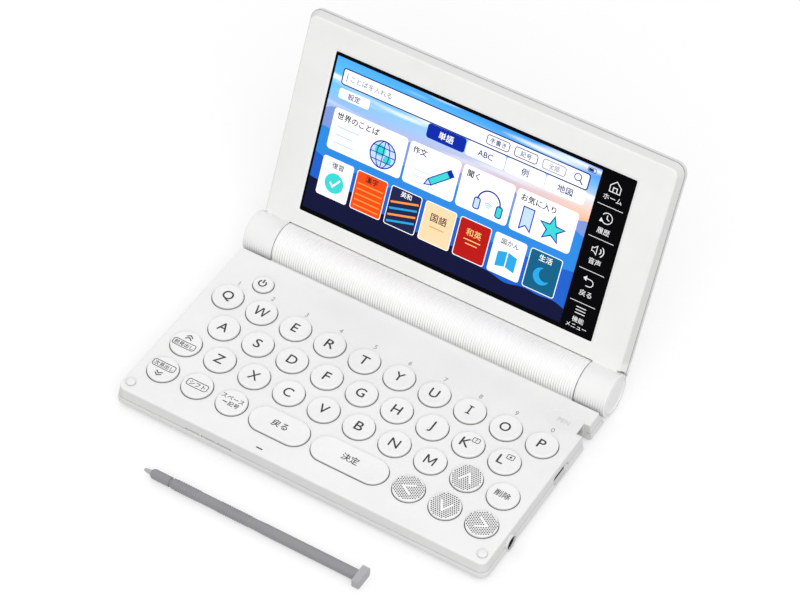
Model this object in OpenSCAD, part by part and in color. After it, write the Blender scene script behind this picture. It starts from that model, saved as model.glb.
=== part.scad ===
/* [Base] */
// Width of the base over the lower lip
body_w = 155; // [150:1:165]
// Distance from the front edge of the base to the hinge axis
base_run = 92.5; // [91:0.5:100]
// Front edge of the base in front of the origin
front_y = 55.7; // [52:0.1:60]
// Height of the keyboard deck above the table
deck_z = 9; // [8.8:0.1:9.4]
// Height of the parting line above the table
split_z = 4.3; // [3.9:0.1:4.8]
// Height of the underside above the table
floor_z = 0.9; // [0.7:0.1:1.2]
// Thickness of the floor
floor_t = 1.3; // [1:0.1:1.6]
// Thickness of the deck
deck_t = 1.2; // [1:0.1:1.4]
// Thickness of the side walls
wall_t = 1.6; // [1.2:0.1:2]
// How far the lower lip stands out past the upper case
lip = 0.45; // [0.2:0.05:0.6]
// How far the upper walls lean in between lip and deck
lean = 0.6; // [0.5:0.05:1]
// Radius of the front corners of the lower lip
corner_r = 3.8; // [3.2:0.1:5]
// Open joint between the deck and the hinge barrel
deck_seam = 1.6; // [1.2:0.1:2]

/* [Keys] */
// Distance from the sides of the base to the middle of the outer keys
side_margin = 10.8; // [10:0.1:12]
// Distance from the front edge to the middle of the bottom row
front_margin = 15.95; // [15:0.05:17]
// Distance from the hinge axis to the first letter row
first_row = 34.3; // [34:0.1:35]
// How much further the bottom row stands from the last letter row than rows do
last_row_extra = 1; // [0.8:0.1:1.2]
// Deck left between neighbouring keys
key_web = 3.05; // [2.8:0.05:3.6]
// Diameter of the power key
power_d = 7.8; // [7:0.1:8.4]
// Distance of the power key behind the first letter row
power_back = 12.1; // [11.6:0.1:12.6]
// Straight run of the back key in key pitches
back_key_run = 0.82; // [0.7:0.01:0.85]
// Straight run of the enter key in key pitches
enter_key_run = 1.28; // [1.2:0.01:1.3]
// Height of the key tops above the deck
key_rise = 1.05; // [0.8:0.05:1.1]
// Travel of a key
key_travel = 0.5; // [0.4:0.05:0.6]
// Gap round a key in its hole
key_gap = 0.3; // [0.25:0.01:0.4]
// Width of the retaining flange under the deck
key_flange = 0.6; // [0.5:0.05:0.7]

/* [Lid] */
// Angle between the opened lid and the table, behind the hinge
lid_angle = 66.5; // [20:0.5:110]
// Distance from the hinge axis to the outer edge of the lid
lid_run = 91.7; // [90:0.1:98]
// Radius of the corners of the lid
lid_corner = 4.6; // [4:0.1:7]
// Distance of the bezel face behind the hinge axis
bezel_n = 1.45; // [1.4:0.05:1.8]
// Depth of the bezel shell
bezel_depth = 3.9; // [3.4:0.1:4.4]
// How far the bezel walls lean in towards the face
bezel_lean = 1.5; // [1:0.1:2]
// Width of the glass
glass_w = 124.6; // [118:0.1:128]
// Height of the glass
glass_h = 65.3; // [60:0.1:66]
// Distance from the hinge axis to the lower edge of the glass
glass_v = 15.1; // [14:0.1:17]
// Thickness of the glass
glass_t = 1.1; // [0.8:0.1:1.3]
// Depth of the glass below the bezel face
glass_sink = 0.3; // [0.2:0.05:0.5]

/* [Hinge and battery barrel] */
// Outer radius of the barrel
barrel_r = 8.55; // [8.4:0.05:9]
// Gap between the barrel and the table
barrel_lift = 0.3; // [0.2:0.05:0.8]
// Length of the fixed barrel between the knuckles
barrel_l = 129; // [126:0.5:132]
// Clearance between parts that turn and parts that stand still
turn_gap = 0.35; // [0.3:0.01:0.45]
// Distance between the ribs
rib_pitch = 1.015; // [0.9:0.005:2]
// Depth of the grooves between the ribs
rib_depth = 0.18; // [0.1:0.02:0.3]
// Radius of the battery tube inside
tube_r = 7.65; // [7.45:0.05:7.7]
// Radius of a battery cell
cell_r = 7.2; // [7:0.05:7.25]
// Length of a battery cell with its nub
cell_l = 50.5; // [49:0.1:51]
// Radius of the hinge shafts
shaft_r = 2.5; // [2:0.1:3]
// Radial clearance of a hinge shaft in its knuckle
shaft_fit = 0.05; // [0.02:0.01:0.08]
// Length of the battery door
door_l = 108; // [104:1:109]

/* [Ports and stylus] */
// Distance of the headphone jack from the front edge of the base
jack_front = 18.3; // [17:0.1:19.5]
// Height of the headphone jack above the table
jack_z = 3.9; // [3.8:0.1:4]
// Distance of the middle of the port recess in front of the hinge axis
usb_run = 38.5; // [37.5:0.1:41]
// Length of the port recess
usb_recess_l = 11; // [10:0.1:12.5]
// Height of the port recess
usb_recess_h = 3.6; // [3.2:0.1:3.8]
// Distance of the stylus notch in front of the hinge axis
notch_run = 19.8; // [19.5:0.1:20.4]
// Width of the stylus notch
notch_w = 5.8; // [5.4:0.1:6]
// Depth of the stylus notch in from the lip
notch_depth = 3.5; // [3:0.1:4]
// Width of the thumb recess beside the notch
thumb_w = 8; // [7:0.1:9]
// Length of the thumb recess in from the side of the base
thumb_l = 16.9; // [15:0.1:18]
// Depth of the thumb recess in the deck
thumb_depth = 0.4; // [0.2:0.05:0.5]
// Width and height of the stylus channel
channel = 4.9; // [4.8:0.05:5]
// Diameter of the stylus
stylus_d = 4.2; // [3.8:0.05:4.3]
// Length of the stylus over all
stylus_l = 91.5; // [86:0.5:92]
// Distance of the lying stylus in front of the base
stylus_out = 21.1; // [15:0.1:30]

/* [Hidden] */
$fn = 48;
hinge_y = base_run - front_y;
hinge_z = barrel_lift + barrel_r;
half_w = body_w / 2;
cx = half_w - corner_r;
cy = corner_r - front_y;
upper_r = corner_r - lip;
deck_r = upper_r - lean;
inner_r = upper_r - wall_t;
floor_top = floor_z + floor_t;
deck_low = deck_z - deck_t;
edge = 0.45;
fuse = 0.4;
back_y = hinge_y - 6;
deck_back = hinge_y - barrel_r - deck_seam;
rear_wall = 1.8;
rear_y = deck_back - rear_wall;
wall_in = cx + inner_r;
seat_gap = 0.05;

barrel_half = barrel_l / 2;
knuckle_in = barrel_half + turn_gap;
knuckle_end = half_w - 0.05;
cavity_half = cell_l + 4.6;
shaft_seat = 5;
shaft_end = half_w - 3.5;
nub_h = 1.3;
plate_t = 0.4;
cells_from = cavity_half - plate_t - 1.2 - 2 * cell_l;
spring_turns = 4;
wire_r = 0.35;
spring_wide_r = 5.4;
spring_end_r = 3.4;
spring_from = -cavity_half + plate_t + 0.15;
spring_l = cells_from - spring_from - wire_r;
door_from = -134;
door_to = 8;
door_half = door_l / 2;
door_gap = 0.3;

row_pitch = (base_run - first_row - front_margin - last_row_extra) / 3;
last_row = row_pitch + last_row_extra;
key_pitch = (body_w - 2 * side_margin) / 9;
key_d = min(key_pitch, last_row) - key_web;
key_r = key_d / 2;
flange_z = deck_low - 0.3;
key_low = flange_z - 0.6;
key_top = deck_z + key_rise;
dish = 0.2;
key_shell = 0.9;
post_r = 1.6;
first_x = side_margin - half_w;
row_y = [
    hinge_y - first_row,
    hinge_y - first_row - row_pitch,
    hinge_y - first_row - 2 * row_pitch,
    hinge_y - first_row - 2 * row_pitch - last_row
];

// Place of a key by its column and row, with each letter row half a pitch further right
function key_at(col, row) = [first_x + col * key_pitch, row_y[row]];
LETTERS = ["qwertyuiop", "asdfghjkl", "zxcvbnm"];
// Each key is its node name, its place, its radius and its straight run
KEYS = concat(
    [for (r = [0:2]) for (c = [0:len(LETTERS[r]) - 1])
        [str("key_", LETTERS[r][c]), key_at(c + r / 2, r), key_r, 0]],
    [
        ["key_power", [first_x + key_pitch * 0.52, row_y[0] + power_back], power_d / 2, 0],
        ["key_prev", key_at(0, 2), key_r, 0],
        ["key_up", key_at(8, 2), key_r, 0],
        ["key_delete", key_at(9, 2), key_r, 0],
        ["key_next", key_at(0, 3), key_r, 0],
        ["key_shift", key_at(1, 3), key_r, 0],
        ["key_space", key_at(2, 3), key_r, 0],
        ["key_back", key_at(3.375, 3), key_r, back_key_run * key_pitch],
        ["key_enter", key_at(5.36, 3), key_r, enter_key_run * key_pitch],
        ["key_left", key_at(7, 3), key_r, 0],
        ["key_down", key_at(8, 3), key_r, 0],
        ["key_right", key_at(9, 3), key_r, 0]
    ]
);

// Screw posts: places of the six case screws
post_out = half_w - 6;
SCREWS = [for (s = [-1, 1]) each [
    [s * post_out, row_y[1]],
    [s * (half_w - 17.5), rear_y - 2],
    [s * (half_w - 23.5), wall_t + 3.9 - front_y]
]];
post_or = 2.4;
screw_r = 1;
screw_head_r = 1.8;
screw_head_h = 1;
screw_top = deck_low - 1;
post_z = floor_z + screw_head_h + 1;

board_z = floor_top + 1;
board_t = 1;
sheet_z = board_z + board_t;
sheet_t = 0.4;
dome_top = key_low - key_travel - 0.3;
dome_r = 1.8;
board_front = wall_t + 8.6 - front_y;
board_back = hinge_y - 28.4;
board_half = half_w - 4.5;
tongue_w = 26;
tongue_back = hinge_y - 15.5;

jack_y = jack_front - front_y;
jack_r = 1.8;
jack_l = 14;
jack_or = 2.15;
jack_mouth_r = 2.75;
jack_ring_r = 3.4;
jack_ring_out = 0.15;
jack_x = half_w - 0.5;
usb_y = hinge_y - usb_run;
usb_z = 4.6;
usb_recess_depth = 1.1;
usb_x = half_w - usb_recess_depth - 0.2;
notch_y = hinge_y - notch_run;
notch_x = half_w - notch_depth;
channel_z = deck_low - channel - 0.3;
channel_l = stylus_l;
channel_wall = 0.9;
bump_x = half_w - 4.2;
bump_y = 5.15 - front_y;
bump_r = 1.9;
bump_h = 1.2;
foot_x = half_w - 11.5;
foot_y = 9.7 - front_y;
foot_r = 4;
foot_sink = 0.3;
rear_foot_x = barrel_half - 6;
rear_foot_w = 8;
rear_foot_d = 7;
slot_in = 40.5;
slot_x = half_w - slot_in;
slot_w = 6;
slot_step = 6.8;
slot_h = 0.9;
slit_h = 0.4;
mic_in = 60.15;
mic_x = half_w - mic_in;
seam_h = 0.25;
seam_depth = 0.45;
usb_w = 7.4;
usb_h = 2.6;
usb_l = 5.6;
usb_skin = 0.3;
speaker_w = 18;
speaker_d = 5.4;
speaker_y = wall_t + lip + 0.3 + speaker_d / 2 - front_y;

lid_cx = half_w - lid_corner;
lid_cv = lid_run - lid_corner;
lid_back = barrel_r;
bezel_low = bezel_n + bezel_depth;
lid_wall = 1.5;
bezel_r = lid_corner - 0.3;
face_r = bezel_r - bezel_lean;
lid_in_v = 11.2;
side_v = 4;
side_gap = 0.8;
arm_v = 2.2;
cover_v = 4.5;
arm_end = lid_cx + face_r - 0.9;
face_t = 2.4;
cap_r = 7.3;
cap_t = 0.7;
glass_rim = 0.9;
glass_corner = 0.6;
glass_n = bezel_n + glass_sink;
glass_cv = glass_v + glass_h / 2;
lcd_w = 115.6;
lcd_h = 63.6;
lcd_t = 2.2;
lcd_cx = -4.4;

stylus_y = -front_y - stylus_out;
stylus_x = -49.6;
stylus_z = 2.2;
head_t = 2.7;
head_w = 7.8;
head_h = 4.4;
nib_l = 3.4;
neck_l = 11.2;
neck_x = stylus_x + neck_l;
grip_from = 2.4;
second_grip_from = 20.8;
shoulder_from = 36;
shoulder_to = 40;

// A profile drawn as distance out from the corner centre against height,
// carried along the left side, round the front corners and back along the right side
module u_sweep(to_y) {
    translate([-cx, cy, 0]) rotate([90, 0, 90]) linear_extrude(2 * cx) mirror([1, 0]) children();
    for (s = [0, 1]) mirror([s, 0, 0]) {
        translate([cx, to_y, 0]) rotate([90, 0, 0]) linear_extrude(to_y - cy) children();
        translate([cx, cy, 0]) rotate(-90) rotate_extrude(angle = 90) children();
    }
}

// Plan of the base at a distance r out from the corner centres, square at the back
module base_plan(r, to_y) {
    translate([-cx, cy - r]) square([2 * cx, to_y - cy + r]);
    translate([-cx - r, cy]) square([2 * (cx + r), to_y - cy]);
    for (s = [-1, 1]) translate([s * cx, cy]) circle(r);
}

// A round bar along X centred on the hinge axis
module axis_bar(r, from_x, to_x) {
    translate([from_x, hinge_y, hinge_z]) rotate([0, 90, 0]) cylinder(r = r, h = to_x - from_x);
}

// Room for the fixed barrel in the middle and for the turning knuckles at the ends
module barrel_room() {
    axis_bar(barrel_r + seat_gap, -barrel_half - 0.1, barrel_half + 0.1);
    for (s = [0, 1]) mirror([s, 0, 0]) axis_bar(barrel_r + deck_seam, barrel_half, half_w + 2);
}

// Plan of a key or its hole: a circle, or two half circles and the length between them
module key_plan(r, run) {
    if (run > 0) square([run, 2 * r], center = true);
    for (s = run > 0 ? [-1, 1] : [0]) translate([s * run / 2, 0]) circle(r);
}

// Open notch where the head of the stored stylus is gripped
module stylus_notch(from_z, to_z) {
    translate([notch_x, notch_y - notch_w / 2, from_z]) cube([notch_depth + 2, notch_w, to_z - from_z]);
}

module lower_case() {
    color("whitesmoke") difference() {
        union() {
            u_sweep(back_y) polygon([
                [corner_r - lip - wall_t, floor_z], [corner_r - 1.3, floor_z],
                [corner_r - 0.45, floor_z + 0.55], [corner_r, floor_z + 1.2],
                [corner_r, split_z - 1.5], [corner_r - 0.08, split_z - 0.85],
                [corner_r - 0.24, split_z - 0.35], [corner_r - lip, split_z],
                [corner_r - lip - wall_t, split_z]
            ]);
            translate([0, 0, floor_z]) linear_extrude(floor_t) base_plan(inner_r + fuse, back_y);
            translate([-wall_in - fuse, rear_y, floor_z])
                cube([2 * (wall_in + fuse), back_y - rear_y, split_z - floor_z]);
            for (p = SCREWS) translate([p[0], p[1], floor_z])
                cylinder(r = post_or + 0.6, h = split_z - floor_z);
            for (s = [-1, 1]) for (y = [board_front + 4, board_back - 4])
                translate([s * board_half * 0.75, y, floor_z]) cylinder(r = 1.6, h = board_z - floor_z);
            channel_block(0, deck_low - seat_gap);
            jack_ring(floor_z, split_z);
        }
        barrel_room();
        for (p = SCREWS) translate([p[0], p[1], 0]) {
            cylinder(r = screw_head_r + 0.3, h = floor_z + screw_head_h + 0.2);
            cylinder(r = screw_r + 0.15, h = split_z);
            translate([0, 0, post_z]) cylinder(r = post_or + seat_gap, h = split_z);
        }
        for (s = [-1, 1]) translate([s * foot_x, foot_y, 0]) cylinder(r = foot_r, h = floor_z + foot_sink);
        stylus_notch(0, deck_z);
        translate([notch_x - channel_l, notch_y - channel / 2, channel_z])
            cube([channel_l + 1, channel, deck_z]);
        port_room();
    }
}

// Walls of the stylus channel and of its notch, which the deck closes from above
module channel_block(grow, to_z) {
    for (b = [
        [notch_x - channel_l - channel_wall, channel + 2 * channel_wall],
        [notch_x - channel_wall, notch_w + 2.4]
    ]) translate([b[0] - grow, notch_y - b[1] / 2 - grow, floor_z])
        cube([wall_in - seat_gap - b[0] + grow, b[1] + 2 * grow, to_z - floor_z]);
}

// Openings in the right side wall for the headphone jack and the port
module port_room() {
    translate([half_w + 1, jack_y, jack_z]) rotate([0, -90, 0])
        cylinder(r = jack_mouth_r, h = 5);
    translate([half_w, jack_y, jack_z]) rotate([0, -90, 0])
        cylinder(r = jack_or + seat_gap, h = jack_l + 3);
    translate([usb_x, usb_y, usb_z]) rotate([90, 0, 90])
        linear_extrude(4) key_plan(usb_recess_h / 2, usb_recess_l - usb_recess_h);
    translate([usb_x - 4, usb_y - usb_w / 2 - seat_gap, usb_z - usb_h / 2 - seat_gap])
        cube([5, usb_w + 2 * seat_gap, usb_h + 2 * seat_gap]);
}

// Shallow recess in the deck, for the thumb that draws the stylus out
module thumb_recess() {
    translate([half_w - thumb_l + thumb_w / 2, notch_y, deck_z - thumb_depth]) linear_extrude(2) {
        circle(thumb_w / 2);
        translate([0, -thumb_w / 2]) square([thumb_l, thumb_w]);
    }
}

module upper_case() {
    color("white") difference() {
        union() {
            u_sweep(back_y) polygon([
                [inner_r, split_z], [upper_r - seam_depth, split_z],
                [upper_r - seam_depth, split_z + seam_h], [upper_r, split_z + seam_h],
                [deck_r, deck_z - edge], [deck_r - 0.13, deck_z - 0.13], [deck_r - edge, deck_z],
                [inner_r, deck_z]
            ]);
            translate([0, 0, deck_low]) linear_extrude(deck_t) base_plan(inner_r + 0.3, deck_back);
            translate([-wall_in - 0.3, rear_y, split_z])
                cube([2 * (wall_in + 0.3), back_y - rear_y, deck_low - split_z]);
            for (p = SCREWS) translate([p[0], p[1], post_z])
                cylinder(r = post_or, h = deck_z - 0.5 - post_z);
            jack_ring(split_z, deck_z);
        }
        barrel_room();
        translate([-half_w, deck_back, deck_low]) cube([body_w, 20, 5]);
        for (k = KEYS) translate([k[1][0], k[1][1], deck_low - 1])
            linear_extrude(deck_t + 2) key_plan(k[2] + key_gap, k[3]);
        for (p = SCREWS) translate([p[0], p[1], 0]) cylinder(r = screw_r, h = screw_top);
        stylus_notch(split_z - 1, deck_z + 1);
        channel_block(seat_gap, deck_low);
        port_room();
        bump_pegs(0);
        translate([-mic_x - 1.35, 3.9 - front_y - 0.3, deck_low - 1]) cube([2.7, 0.6, deck_t + 2]);
        thumb_recess();
        for (i = [-1:1]) translate([-slot_x + i * slot_step - slot_w / 2, -front_y - 1, split_z]) {
            cube([slot_w, 1 + lip + wall_t / 2, slot_h]);
            translate([0, 0, slot_h - slit_h]) cube([slot_w, 6, slit_h]);
        }
    }
}

// Raised ring round the headphone jack, between two heights
module jack_ring(from_z, to_z) {
    intersection() {
        translate([half_w + jack_ring_out, jack_y, jack_z]) rotate([0, -90, 0])
            cylinder(r = jack_ring_r, h = 2.6);
        translate([half_w - 5, jack_y - 5, from_z]) cube([10, 10, to_z - from_z]);
    }
}

// Pegs of the bump stops, or the holes for them
module bump_pegs(play) {
    for (s = [-1, 1]) translate([s * bump_x, bump_y, deck_low - 0.5])
        cylinder(r = 1.1 + play, h = deck_t + 0.5);
}

module bump_stops() {
    color("gainsboro") {
        for (s = [-1, 1]) translate([s * bump_x, bump_y, deck_z]) rotate_extrude() polygon([
            [0, 0], [bump_r, 0], [bump_r, 0.35], [bump_r - 0.2, 0.75],
            [bump_r - 0.7, 1.08], [bump_r - 1.3, bump_h], [0, bump_h]
        ]);
        bump_pegs(0);
    }
}

// Outline of the ribbed wall: flat ribs with a V groove after each one
function ribs(from_x, to_x) = let (n = floor((to_x - from_x) / rib_pitch), p = (to_x - from_x) / n)
    [for (i = [0:n - 1]) each [
        [barrel_r, from_x + i * p], [barrel_r, from_x + (i + 0.55) * p],
        [barrel_r - rib_depth, from_x + (i + 0.8) * p]
    ]];

// Turns a profile of radius against X round the hinge axis, from one angle to another
module round_axis(from_a, to_a) {
    translate([0, hinge_y, hinge_z]) rotate([from_a, 0, 0]) rotate([90, 0, 90])
        rotate_extrude(angle = to_a - from_a) children();
}

module hinge_barrel() {
    color("whitesmoke") difference() {
        round_axis(0, 360) polygon(concat(
            [[shaft_r, -barrel_half], [barrel_r - 0.3, -barrel_half], [barrel_r, -barrel_half + 0.3]],
            ribs(-barrel_half + 0.8, barrel_half - 0.8),
            [
                [barrel_r, barrel_half - 0.3], [barrel_r - 0.3, barrel_half], [shaft_r, barrel_half],
                [shaft_r, barrel_half - shaft_seat], [0, barrel_half - shaft_seat], [0, cavity_half],
                [tube_r, cavity_half], [tube_r, -cavity_half], [0, -cavity_half],
                [0, -barrel_half + shaft_seat], [shaft_r, -barrel_half + shaft_seat]
            ]
        ));
        round_axis(door_from, door_to)
            translate([tube_r - 0.5, -door_half - door_gap]) square([3, door_l + 2 * door_gap]);
    }
}

module battery_cover() {
    slack = door_gap / barrel_r * 180 / PI;
    color("white") round_axis(door_from + slack, door_to - slack) polygon(concat(
        [[tube_r, door_half], [tube_r, -door_half], [barrel_r, -door_half]],
        ribs(-door_half + 0.8, door_half - 0.8),
        [[barrel_r, door_half]]
    ));
}

// One cell: the can, and the nub at its positive end
module cell(x) {
    translate([x, hinge_y, hinge_z]) rotate([0, 90, 0]) {
        cylinder(r = cell_r, h = cell_l - nub_h);
        cylinder(r = 2.75, h = cell_l);
    }
}

module battery_cells() {
    color("silver") for (i = [0, 1]) cell(cells_from + i * cell_l);
}

// Coil of the contact spring: a tube of wire whose turns grow smaller towards the cell
module contact_spring() {
    n = 72;
    m = 6;
    taper = spring_wide_r - spring_end_r;
    points = [for (i = [0:n]) let (t = i / n, a = 360 * spring_turns * t, r = spring_wide_r - taper * t)
        for (j = [0:m - 1]) let (b = 360 * j / m) [
            spring_from + spring_l * t + wire_r * sin(b),
            hinge_y + (r + wire_r * cos(b)) * cos(a),
            hinge_z + (r + wire_r * cos(b)) * sin(a)
        ]];
    sides = [for (i = [0:n - 1]) for (j = [0:m - 1]) let (k = (j + 1) % m) each [
        [i * m + j, (i + 1) * m + k, (i + 1) * m + j],
        [i * m + j, i * m + k, (i + 1) * m + k]
    ]];
    polyhedron(points, concat(sides, [[for (j = [m - 1:-1:0]) j], [for (j = [0:m - 1]) n * m + j]]));
}

module battery_contacts() {
    color("gold") {
        axis_bar(6.5, -cavity_half, -cavity_half + plate_t);
        axis_bar(6.5, cavity_half - plate_t, cavity_half);
        axis_bar(2.2, cells_from + 2 * cell_l, cavity_half - plate_t);
        contact_spring();
    }
}

// Plan of the circuit board and the rubber sheet, with a tongue under the power key
module board_plan(grow) {
    difference() {
        union() {
            translate([-board_half - grow, board_front - grow])
                square([2 * (board_half + grow), board_back - board_front + 2 * grow]);
            translate([-board_half - grow, board_front])
                square([tongue_w + 2 * grow, tongue_back - board_front + grow]);
        }
        for (p = SCREWS) translate(p) circle(r = post_or + 1);
        translate([half_w - jack_l - 2, jack_y - jack_or - 0.5]) square([jack_l, 2 * jack_or + 1]);
        translate([usb_x - usb_l - 0.4 + grow, usb_y - usb_w / 2 - 0.4 + grow])
            square([usb_l, usb_w + 0.8 - 2 * grow]);
    }
}

module circuit_board() {
    color("darkgreen") {
        translate([0, 0, board_z]) linear_extrude(board_t) board_plan(0);
        for (c = [[-20, 14], [6, 10], [24, 8]])
            translate([c[0], (board_front + board_back) / 2, board_z - 0.8]) cube([c[1], c[1], 0.8]);
    }
}

module key_sheet() {
    color("lightgray") {
        translate([0, 0, sheet_z]) linear_extrude(sheet_t) board_plan(-0.5);
        difference() {
            for (k = KEYS) translate([k[1][0], k[1][1], sheet_z])
                cylinder(r1 = dome_r, r2 = dome_r - 0.5, h = dome_top - sheet_z);
            translate([half_w - jack_l - 2, jack_y - jack_or - 0.3, 0])
                cube([jack_l, 2 * jack_or + 0.6, deck_z]);
        }
    }
}

module headphone_jack() {
    color("dimgray") translate([jack_x, jack_y, jack_z]) rotate([0, -90, 0]) difference() {
        union() {
            cylinder(r = jack_mouth_r - seat_gap, h = 2.4);
            cylinder(r = jack_or, h = jack_l + 1);
        }
        translate([0, 0, -1]) cylinder(r = jack_r, h = jack_l + 1);
    }
}

module usb_socket() {
    color("gray") difference() {
        translate([usb_x - usb_l, usb_y - usb_w / 2, usb_z - usb_h / 2]) cube([usb_l, usb_w, usb_h]);
        translate([usb_x - usb_l + 1, usb_y - usb_w / 2 + usb_skin, usb_z - usb_h / 2 + usb_skin])
            cube([usb_l, usb_w - 2 * usb_skin, usb_h - 2 * usb_skin]);
    }
    color("black") translate([usb_x - usb_l + 0.9, usb_y - usb_w / 2 + 1.2, usb_z - 0.35])
        cube([usb_l - 1.9, usb_w - 2.4, 0.7]);
}

module speaker() {
    color("dimgray") translate([-slot_x, speaker_y, floor_top + 0.1]) {
        linear_extrude(3) square([speaker_w, speaker_d], center = true);
        linear_extrude(3.5) key_plan(speaker_d / 2 - 0.8, speaker_w - speaker_d);
    }
}

module rubber_feet() {
    color("darkgray") for (s = [-1, 1]) {
        translate([s * foot_x, foot_y, 0]) cylinder(r = foot_r, h = floor_z + foot_sink);
        difference() {
            translate([s * rear_foot_x - rear_foot_w / 2, hinge_y - rear_foot_d / 2, 0])
                cube([rear_foot_w, rear_foot_d, hinge_z]);
            axis_bar(barrel_r + seat_gap, -half_w, half_w);
        }
    }
}

module case_screws() {
    color("silver") for (p = SCREWS) translate([p[0], p[1], floor_z + 0.2]) difference() {
        union() {
            cylinder(r = screw_head_r, h = screw_head_h);
            cylinder(r = screw_r, h = screw_top - 0.4 - floor_z);
        }
        translate([0, 0, -0.1]) cylinder(r = 0.7, h = 0.7, $fn = 6);
    }
}

module hinge_shafts() {
    color("silver") for (s = [0, 1]) mirror([s, 0, 0])
        axis_bar(shaft_r, barrel_half - shaft_seat, shaft_end);
}

// The lid's own frame: X along the hinge, Y from the hinge to the far edge, Z out of the display
module lid_frame() {
    translate([0, hinge_y, hinge_z]) rotate([lid_angle, 0, 0]) children();
}

// A profile carried round the three free edges of the lid, from the hinge side up and round
module lid_sweep() {
    translate([-lid_cx, lid_cv, 0]) rotate([90, 0, 90]) linear_extrude(2 * lid_cx) children();
    for (s = [0, 1]) mirror([s, 0, 0]) {
        translate([lid_cx, lid_cv, 0]) rotate([90, 0, 0]) linear_extrude(lid_cv - side_v) children();
        translate([lid_cx, lid_cv, 0]) rotate_extrude(angle = 90) children();
    }
}

// Plan of the lid at a distance r out from the far corner centres, from a line near the hinge
module lid_plan(r, from_v) {
    translate([-lid_cx, from_v]) square([2 * lid_cx, lid_cv + r - from_v]);
    translate([-lid_cx - r, from_v]) square([2 * (lid_cx + r), lid_cv - from_v]);
    for (s = [-1, 1]) translate([s * lid_cx, lid_cv]) circle(r);
}

// Room for the fixed barrel under the lower edge of the lid, and round the ends of the knuckles
module lid_barrel_room(end_r) {
    translate([-knuckle_in, 0, 0]) rotate([0, 90, 0])
        cylinder(r = barrel_r + turn_gap, h = 2 * knuckle_in);
    if (end_r > 0) translate([-half_w - 1, 0, 0]) rotate([0, 90, 0])
        cylinder(r = end_r, h = body_w + 2);
    for (s = [0, 1]) mirror([s, 0, 0]) translate([arm_end, 0, 0]) rotate([0, 90, 0])
        cylinder(r = barrel_r + side_gap, h = 5);
}

// Plan of the glass or its window, grown by an amount
module glass_plan(grow) {
    r = glass_corner + grow;
    for (s = [-1, 1]) for (t = [-1, 1])
        translate([s * (glass_w / 2 - glass_corner), t * (glass_h / 2 - glass_corner)]) circle(r);
    square([glass_w - 2 * glass_corner, glass_h + 2 * grow], center = true);
    square([glass_w + 2 * grow, glass_h - 2 * glass_corner], center = true);
}

// One knuckle: a plain drum with rounded outer edge, the shaft bore and the seat of its cap
module knuckle() {
    rotate([90, 0, 90]) rotate_extrude() polygon([
        [shaft_r + shaft_fit, knuckle_in], [barrel_r - 0.3, knuckle_in], [barrel_r, knuckle_in + 0.3],
        [barrel_r, knuckle_end - 0.5], [barrel_r - 0.15, knuckle_end - 0.15],
        [barrel_r - 0.5, knuckle_end], [cap_r + seat_gap, knuckle_end],
        [cap_r + seat_gap, knuckle_end - cap_t], [0, knuckle_end - cap_t],
        [0, shaft_end + 0.3], [shaft_r + shaft_fit, shaft_end + 0.3]
    ]);
}

module lid_bezel() {
    color("white") lid_frame() {
        difference() {
            union() {
                lid_sweep() polygon([
                    [face_r - 1.3, -bezel_n], [face_r - edge, -bezel_n], [face_r, -bezel_n - edge],
                    [bezel_r, -bezel_low + seam_h], [bezel_r - seam_depth, -bezel_low + seam_h],
                    [bezel_r - seam_depth, -bezel_low], [bezel_r - lid_wall, -bezel_low],
                    [face_r - 1.3, -bezel_low + 0.8]
                ]);
                translate([0, 0, -bezel_n - face_t]) linear_extrude(face_t) lid_plan(face_r - 0.9, arm_v);
                translate([-arm_end, arm_v, -bezel_low]) cube([2 * arm_end, lid_in_v - arm_v, bezel_depth]);
            }
            lid_barrel_room(0);
            translate([0, glass_cv, -glass_n - glass_t]) linear_extrude(5) glass_plan(0);
            translate([lcd_cx - lcd_w / 2, glass_cv - lcd_h / 2, -bezel_low]) cube([lcd_w, lcd_h, 5]);
            hull() for (e = [[0, -glass_n], [glass_rim, -bezel_n], [glass_rim, -bezel_n + 0.1]])
                translate([0, glass_cv, e[1] - 0.001]) linear_extrude(0.001) glass_plan(e[0]);
            for (s = [0, 1]) mirror([s, 0, 0]) translate([knuckle_in, 0, 0]) rotate([0, 90, 0])
                cylinder(r = shaft_r + shaft_fit + 1, h = half_w);
        }
        for (s = [0, 1]) mirror([s, 0, 0]) knuckle();
    }
}

module lid_cover() {
    color("white") lid_frame() difference() {
        union() {
            lid_sweep() polygon([
                [lid_corner - 3.4, -lid_back], [lid_corner - 2.3, -lid_back],
                [lid_corner - 1.2, -lid_back + 0.3],
                [lid_corner - 0.4, -lid_back + 0.95], [lid_corner, -lid_back + 1.75],
                [lid_corner, -bezel_low - 0.25], [lid_corner - 0.25, -bezel_low],
                [lid_corner - 1.7, -bezel_low], [lid_corner - 1.7, -lid_back + lid_wall],
                [lid_corner - 3.4, -lid_back + lid_wall]
            ]);
            translate([0, 0, -lid_back]) linear_extrude(lid_wall) lid_plan(lid_corner - 2.8, cover_v);
            translate([-lid_cx - 1.8, cover_v, -lid_back])
                cube([2 * lid_cx + 3.6, lid_in_v - cover_v, lid_back - bezel_low]);
        }
        lid_barrel_room(barrel_r + seat_gap);
    }
}

module touch_glass() {
    color("black") lid_frame() translate([0, glass_cv, -glass_n - glass_t])
        linear_extrude(glass_t) glass_plan(-seat_gap);
}

module lcd_panel() {
    color("steelblue") lid_frame() translate([lcd_cx, glass_cv, -glass_n - glass_t - lcd_t])
        linear_extrude(lcd_t) square([lcd_w - 0.2, lcd_h - 0.2], center = true);
}

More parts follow.
